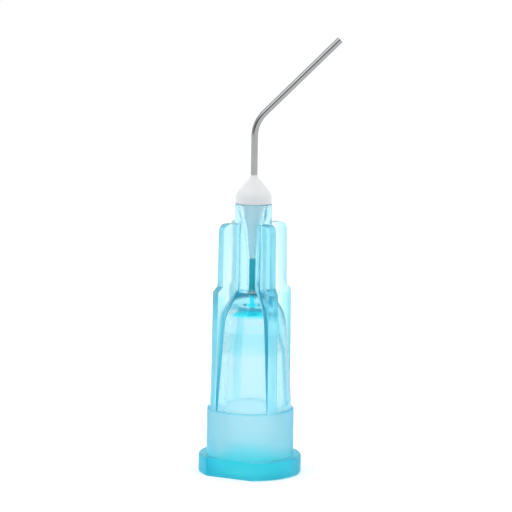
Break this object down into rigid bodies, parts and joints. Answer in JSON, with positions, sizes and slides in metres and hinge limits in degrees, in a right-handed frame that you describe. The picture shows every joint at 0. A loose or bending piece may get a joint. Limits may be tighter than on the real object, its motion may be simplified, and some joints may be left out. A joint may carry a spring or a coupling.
{
  "type": "dispensing needle tip",
  "caption": "Luer-lock dispensing needle tip: ribbed translucent hub with a tapered socket and two locking lugs, and a bent steel tube glued into its nose.",
  "frame": {"origin": "centre of the luer socket's mouth, on the mating face of the hub", "axes": "+Z along the hub's axis towards the nose, +X the way the tube bends, +Y completes the right-handed set"},
  "size_m": [0.0104, 0.0078, 0.0331],
  "materials": {
    "hub": "translucent cyan polypropylene, soft gloss",
    "cannula": "drawn stainless steel",
    "adhesive_bead": "milky cured adhesive"
  },
  "bodies": {
    "root": {"hub": "hub", "cannula": "cannula", "adhesive_bead": "adhesive_bead"}
  },
  "joints": []
}
